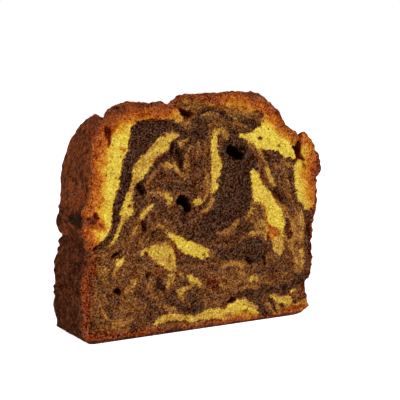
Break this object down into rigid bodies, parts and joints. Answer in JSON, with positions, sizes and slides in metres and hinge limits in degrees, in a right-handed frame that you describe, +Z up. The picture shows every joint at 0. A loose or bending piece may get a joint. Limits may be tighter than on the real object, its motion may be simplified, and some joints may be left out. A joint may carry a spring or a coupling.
{
  "type": "marble loaf cake slice",
  "caption": "Thick upright slice of a marbled yellow and chocolate loaf cake, with a browned crust, a cracked domed top and a flat base to stand on.",
  "frame": {"origin": "middle of the slice's box, at table level", "axes": "+Z up from the table; X across the loaf from wall to wall; Y along the loaf, from the front cut (-Y) to the back cut (+Y)"},
  "size_m": [0.1008, 0.026, 0.087],
  "materials": {
    "crumb_and_crust": "matte"
  },
  "bodies": {
    "root": {"cake_slice": "crumb_and_crust"}
  },
  "joints": []
}
